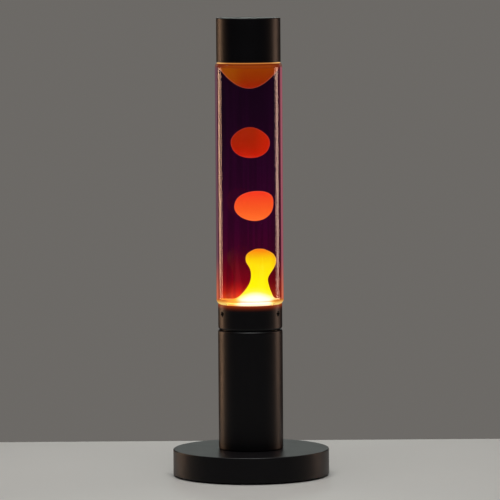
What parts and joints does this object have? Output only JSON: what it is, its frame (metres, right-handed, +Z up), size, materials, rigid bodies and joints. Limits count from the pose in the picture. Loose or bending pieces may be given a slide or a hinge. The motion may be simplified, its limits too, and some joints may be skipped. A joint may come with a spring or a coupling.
{
  "type": "lava lamp",
  "caption": "Tall cylindrical lava lamp: round weighted foot, black column with the bulb, lift-out wax-and-liquid bottle and a flat-topped cap.",
  "frame": {"origin": "middle of the foot, on the surface that the lamp stands on", "axes": "+Z up the lamp, -Y out of its front, +Y towards the cord inlet at the back, +X to the right"},
  "size_m": [0.133, 0.133, 0.39],
  "materials": {
    "black_paint": "satin black powder coat",
    "bottle_glass": "clear polished glass",
    "liquid": "clear purple liquid",
    "wax_hot": "molten wax, lit from below",
    "wax_warm": "molten wax",
    "wax_cool": "cool wax",
    "steel": "plain zinc-plated steel",
    "black_steel": "black oxide steel",
    "brass": "plain brass",
    "ceramic": "unglazed white ceramic",
    "black_plastic": "moulded plastic",
    "white_plastic": "moulded plastic",
    "rubber": "matt rubber",
    "silicone": "silicone",
    "bulb_glass": "silvered and frosted glass",
    "wire_brown": "wire insulation",
    "wire_blue": "wire insulation",
    "wire_green": "wire insulation"
  },
  "bodies": {
    "stand": {"foot_disc": "black_paint", "column": "black_paint", "collar": "black_paint", "foot_weight": "steel", "joiner_sleeve": "steel", "column_screw_1": "steel", "column_screw_2": "steel", "column_screw_3": "steel", "threaded_tube": "steel", "nut_lower": "steel", "nut_upper": "steel", "earth_tag": "steel", "earth_screw": "steel", "bottom_plate": "black_steel", "plate_screw_1": "black_steel", "plate_screw_2": "black_steel", "plate_screw_3": "black_steel", "plate_screw_4": "black_steel", "grub_screw_1": "black_steel", "grub_screw_2": "black_steel", "grub_screw_3": "black_steel", "holder_thread": "brass", "holder_contact": "brass", "holder_core": "ceramic", "holder_base": "black_plastic", "holder_sleeve": "black_plastic", "terminal_block": "white_plastic", "cord_grommet": "rubber", "rubber_foot_1": "rubber", "rubber_foot_2": "rubber", "rubber_foot_3": "rubber", "rubber_foot_4": "rubber", "seat_gasket": "silicone", "live_wire": "wire_brown", "neutral_wire": "wire_blue", "earth_wire": "wire_green"},
    "bottle": {"glass_bottle": "bottle_glass", "crown_cap": "steel", "crown_seal": "white_plastic", "liquid": "liquid", "wax_mound": "wax_hot", "wax_dome": "wax_cool", "wire_coil": "steel"},
    "cap": {"cap_shell": "black_paint", "cap_locator": "black_plastic"},
    "bulb": {"bulb_tip": "steel", "bulb_insulator": "black_plastic", "bulb_cap": "brass", "bulb_glass": "bulb_glass", "bulb_stem": "bottle_glass", "bulb_filament": "steel"},
    "upper_drop": {"wax_drop_upper": "wax_warm"},
    "lower_drop": {"wax_drop_lower": "wax_warm"}
  },
  "joints": [
    {"name": "bottle_lift", "type": "slide", "parent": "stand", "child": "bottle", "axis": [0, 0, 1], "range_m": [0, 0.06]},
    {"name": "cap_lift", "type": "slide", "parent": "bottle", "child": "cap", "axis": [0, 0, 1], "range_m": [0, 0.06]},
    {"name": "bulb_turn", "type": "hinge", "parent": "stand", "child": "bulb", "pos_m": [0, 0, 0.06], "axis": [0, 0, 1], "range_deg": [0, 1800]},
    {"name": "upper_drop_float", "type": "slide", "parent": "bottle", "child": "upper_drop", "axis": [0, 0, 1], "range_m": [-0.012, 0.03]},
    {"name": "lower_drop_float", "type": "slide", "parent": "bottle", "child": "lower_drop", "axis": [0, 0, 1], "range_m": [-0.018, 0.012]}
  ]
}
